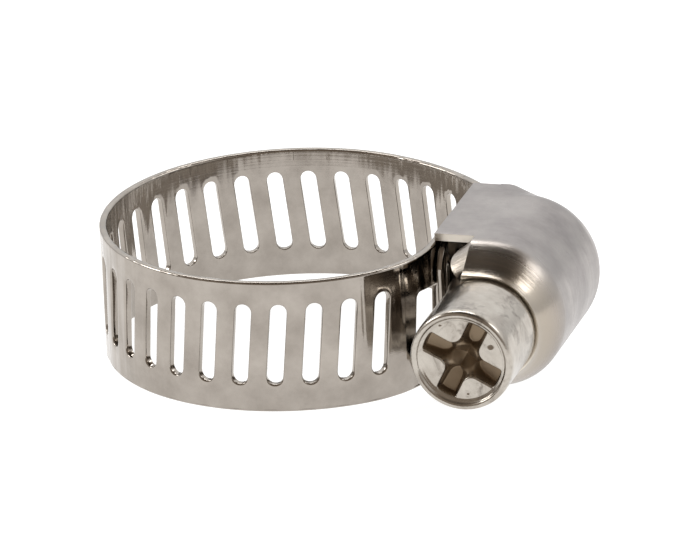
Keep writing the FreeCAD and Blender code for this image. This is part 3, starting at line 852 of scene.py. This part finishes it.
# radius and place along the screw: the face's edge and the rim, the barrel, the groove
# and the shoulder behind it
turned_profile = [
    (2.42, -11.01), (2.46, -11.05), (2.51, -11.07), (2.57, -11.09), (2.61, -11.14), (2.65, -11.21),
    (2.71, -11.27), (2.78, -11.295), (2.86, -11.28), (2.94, -11.23), (3.0, -11.14), (3.035, -11.02),
    (HEAD_RADIUS, -10.85), (HEAD_RADIUS, -10.6), (HEAD_RADIUS, -9.6), (HEAD_RADIUS, -8.6),
    (HEAD_RADIUS, -7.6), (HEAD_RADIUS, -6.6), (HEAD_RADIUS, -6.24), (3.02, -6.20),
    (2.73, -6.20), (2.70, -6.17), (2.70, -4.88), (2.73, -4.85),
    (2.85, -4.85), (2.88, -4.82), (2.88, -4.75), (2.85, -4.70), (2.64, -4.70)]
for radius, y in turned_profile:
    points += turned_ring(radius, y)
for row in range(CORE_ROWS + 1):
    y = CORE_FROM + (CORE_TO - CORE_FROM) * row / CORE_ROWS
    for angle in angles:
        radius = thread_height(angle, y)
        points.append((SCREW_X + radius * math.cos(angle), y, -radius * math.sin(angle)))
for radius, y in ((2.52, 5.45), (2.42, 5.51), (1.2, 5.51), (0.0, 5.51)):
    points += turned_ring(radius, y)
recess_shade_values += [0.0] * (len(points) - len(recess_shade_values))
screw_mesh = bpy.data.meshes.new("worm_screw_turned")
row_count = len(points) // COLUMNS
screw_faces = stitched([range(COLUMNS)] * row_count, True)
screw_mesh.from_pydata([Vector(point) * MM for point in points], [], screw_faces)
layer = screw_mesh.attributes.new("sunk", "FLOAT", "POINT")
layer.data.foreach_set("value", recess_shade_values)
work = bmesh.new()
work.from_mesh(screw_mesh)
bmesh.ops.remove_doubles(work, verts=work.verts, dist=WELD)
bmesh.ops.recalc_face_normals(work, faces=work.faces)
work.to_mesh(screw_mesh)
work.free()
screw_mesh.materials.append(plated)
smooth_faces(screw_mesh, 60)
worm = bpy.data.objects.new("cross_head_worm", screw_mesh)
bpy.context.scene.collection.objects.link(worm)
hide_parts("worm_screw")
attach(worm, "screw")

# ---------------------------------------------------------------- floor, light and camera
# A plain white light table in a small studio, with softboxes behind, right and left.
FLOOR_HALF, FLOOR_Z = 3.0, -0.0047
floor_mesh = bpy.data.meshes.new("floor")
floor_corners = [(x * FLOOR_HALF, y * FLOOR_HALF, 0) for x, y in ((-1, -1), (1, -1), (1, 1), (-1, 1))]
floor_mesh.from_pydata(floor_corners, [], [(0, 1, 2, 3)])
floor = bpy.data.objects.new("floor", floor_mesh)
bpy.context.scene.collection.objects.link(floor)
floor.location = (0, 0, FLOOR_Z)
paper = bpy.data.materials.new("light_table")
paper.use_nodes = True
paper_inputs = paper.node_tree.nodes["Principled BSDF"].inputs
paper_inputs["Base Color"].default_value = linear("#A8A8A8")
paper_inputs["Roughness"].default_value = 0.9
paper_inputs["Emission Color"].default_value = linear("#FFFFFF")
paper_inputs["Emission Strength"].default_value = 0.92
floor_mesh.materials.append(paper)
floor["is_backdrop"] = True

world = bpy.data.worlds.new("studio")
bpy.context.scene.world = world
world.use_nodes = True
tree = world.node_tree
tree.nodes.clear()
direction = node(tree, "ShaderNodeTexCoord").outputs["Generated"]
apart = node(tree, "ShaderNodeSeparateXYZ", {"Vector": direction})
# dim overhead, bright walls behind and to the sides, and a dimmer warm room in front
sky = node(tree, "ShaderNodeValToRGB", {"Fac": apart.outputs["Z"]})
ramp_stops(sky, ((0.0, 0.62), (0.22, 0.72), (0.42, 0.95), (0.62, 1.0), (0.80, "#85796C"),
                 (0.93, "#2B241E")))
front = node(tree, "ShaderNodeMapRange", {"Value": apart.outputs["Y"], "From Min": -0.75, "From Max": 0.25,
                                          "To Min": 1.0, "To Max": 0.0}, interpolation_type="SMOOTHSTEP")
room = node(tree, "ShaderNodeMix", {"Factor": front.outputs["Result"], 6: sky.outputs["Color"],
                                    7: linear("#8A7F74")}, data_type="RGBA")
glow = node(tree, "ShaderNodeBackground", {"Color": room.outputs[2], "Strength": 1.25})
node(tree, "ShaderNodeOutputWorld", {"Surface": glow.outputs["Background"]})


def soft_light(name, place, wide, deep, power):
    """A rectangular softbox, aimed at the ring's centre."""
    data = bpy.data.lights.new(name, "AREA")
    data.shape = "RECTANGLE"
    data.size, data.size_y, data.energy = wide, deep, power
    light = bpy.data.objects.new(name, data)
    light.location = place
    light.rotation_euler = (-Vector(place)).to_track_quat("-Z", "Y").to_euler()
    bpy.context.scene.collection.objects.link(light)


soft_light("back_softbox", (-0.12, 0.34, 0.50), 0.40, 0.12, 0.9)
soft_light("right_softbox", (0.42, 0.16, 0.40), 0.2, 0.2, 0.4)
soft_light("left_softbox", (-0.45, -0.05, 0.30), 0.2, 0.2, 0.7)

bpy.context.scene.view_settings.view_transform = "Standard"
camera_data = bpy.data.cameras.new("camera")
camera_data.lens, camera_data.sensor_width = 460.6, 36.0
camera_data.clip_start, camera_data.clip_end = 0.01, 20.0
camera = bpy.data.objects.new("camera", camera_data)
CAMERA_PLACE = (0.1511, -0.4678, 0.1892)
right, up = Vector((0.9578, 0.2836, -0.0463)), Vector((-0.0608, 0.3576, 0.9319))
forward = Vector((-0.2808, 0.8898, -0.3598))
turned = Matrix((right, up, -forward)).transposed()
camera.matrix_world = Matrix.Translation(CAMERA_PLACE) @ turned.to_4x4()
bpy.context.scene.collection.objects.link(camera)
bpy.context.scene.camera = camera

low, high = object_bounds()
